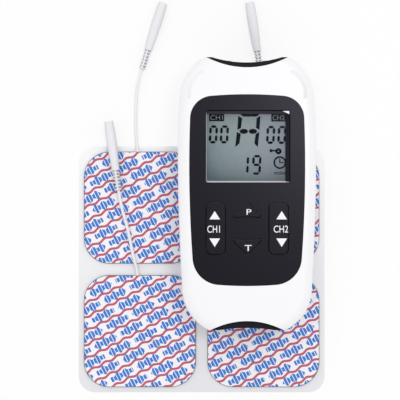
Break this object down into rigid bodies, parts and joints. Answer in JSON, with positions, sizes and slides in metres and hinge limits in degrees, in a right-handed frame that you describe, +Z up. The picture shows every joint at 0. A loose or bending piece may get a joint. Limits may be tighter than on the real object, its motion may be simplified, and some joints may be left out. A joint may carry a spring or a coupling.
{
  "type": "tens unit",
  "caption": "Handheld two-channel nerve stimulator with display, keys, battery door and belt clip, lying on a card of self-adhesive electrodes with socket leads.",
  "frame": {"origin": "bottom centre of the card and stimulator together, without the free leads", "axes": "+Z up out of the stimulator's face, +Y along the stimulator towards its output sockets, +X to the right of its face"},
  "size_m": [0.11, 0.1745, 0.0322],
  "materials": {
    "casing": "satin white ABS",
    "black_plastic": "fine matt black",
    "panel": "matt black film",
    "keys": "matt black keys with white legends",
    "window": "clear acrylic",
    "lcd": "grey-green reflective display",
    "tray": "moulded",
    "board": "solder mask",
    "transformer": "ferrite and tape",
    "chip": "moulded",
    "cell": "plain sleeve",
    "screw": "zinc plated",
    "plated_contact": "nickel plated",
    "copper": "tinned copper strands",
    "wire": "soft white PVC",
    "sleeve": "moulded white PVC",
    "liner": "coated release film",
    "gel": "clear tacky hydrogel",
    "carbon_film": "conductive film",
    "backing": "printed non-woven"
  },
  "bodies": {
    "electrode_card": {"electrode_1_backing": "backing", "electrode_1_carbon": "carbon_film", "electrode_1_gel": "gel", "electrode_2_backing": "backing", "electrode_2_carbon": "carbon_film", "electrode_2_gel": "gel", "electrode_3_backing": "backing", "electrode_3_carbon": "carbon_film", "electrode_3_gel": "gel", "electrode_4_backing": "backing", "electrode_4_carbon": "carbon_film", "electrode_4_gel": "gel", "lead_1": "wire", "lead_1_contact": "plated_contact", "lead_1_sleeve": "sleeve", "lead_2": "wire", "lead_2_contact": "plated_contact", "lead_2_sleeve": "sleeve", "lead_3": "wire", "lead_3_contact": "plated_contact", "lead_3_sleeve": "sleeve", "lead_4": "wire", "lead_4_contact": "plated_contact", "lead_4_sleeve": "sleeve", "lead_strands": "copper", "release_liner": "liner"},
    "rocker_ch1": {"rocker_ch1": "keys"},
    "rocker_ch2": {"rocker_ch2": "keys"},
    "key_p": {"key_p": "keys"},
    "key_t": {"key_t": "keys"},
    "battery_door": {"battery_door": "casing"},
    "belt_clip": {"belt_clip": "casing"},
    "stimulator": {"battery_cells": "cell", "battery_contacts": "plated_contact", "battery_springs": "plated_contact", "bottom_end_cap": "black_plastic", "buzzer": "chip", "capacitors": "cell", "circuit_board": "board", "controller_chip": "chip", "display_window": "window", "face_panel": "panel", "front_shell": "casing", "key_switches": "plated_contact", "lcd_glass": "lcd", "lcd_tray": "tray", "output_jack_ch1": "black_plastic", "output_jack_ch2": "black_plastic", "rear_shell": "casing", "shell_screws": "screw", "top_end_cap": "black_plastic", "transformers": "transformer"}
  },
  "joints": [
    {"name": "unit_lift", "type": "slide", "parent": "electrode_card", "child": "stimulator", "axis": [0, 0, 1], "range_m": [0, 0.06]},
    {"name": "rocker_ch1_tilt", "type": "hinge", "parent": "stimulator", "child": "rocker_ch1", "pos_m": [0.00605, -0.00025, 0.02842], "axis": [1, 0, 0], "range_deg": [-3, 3], "stiffness_Nm_per_rad": 0.1},
    {"name": "rocker_ch2_tilt", "type": "hinge", "parent": "stimulator", "child": "rocker_ch2", "pos_m": [0.03315, -0.00025, 0.02842], "axis": [1, 0, 0], "range_deg": [-3, 3], "stiffness_Nm_per_rad": 0.1},
    {"name": "key_p_press", "type": "slide", "parent": "stimulator", "child": "key_p", "axis": [0, 0, -1], "range_m": [0, 0.0005], "stiffness_N_per_m": 400},
    {"name": "key_t_press", "type": "slide", "parent": "stimulator", "child": "key_t", "axis": [0, 0, -1], "range_m": [0, 0.0005], "stiffness_N_per_m": 400},
    {"name": "battery_door_slide", "type": "slide", "parent": "stimulator", "child": "battery_door", "axis": [0, -1, 0], "range_m": [0, 0.07]},
    {"name": "belt_clip_slide", "type": "slide", "parent": "stimulator", "child": "belt_clip", "axis": [0, 1, 0], "range_m": [0, 0.013]}
  ]
}
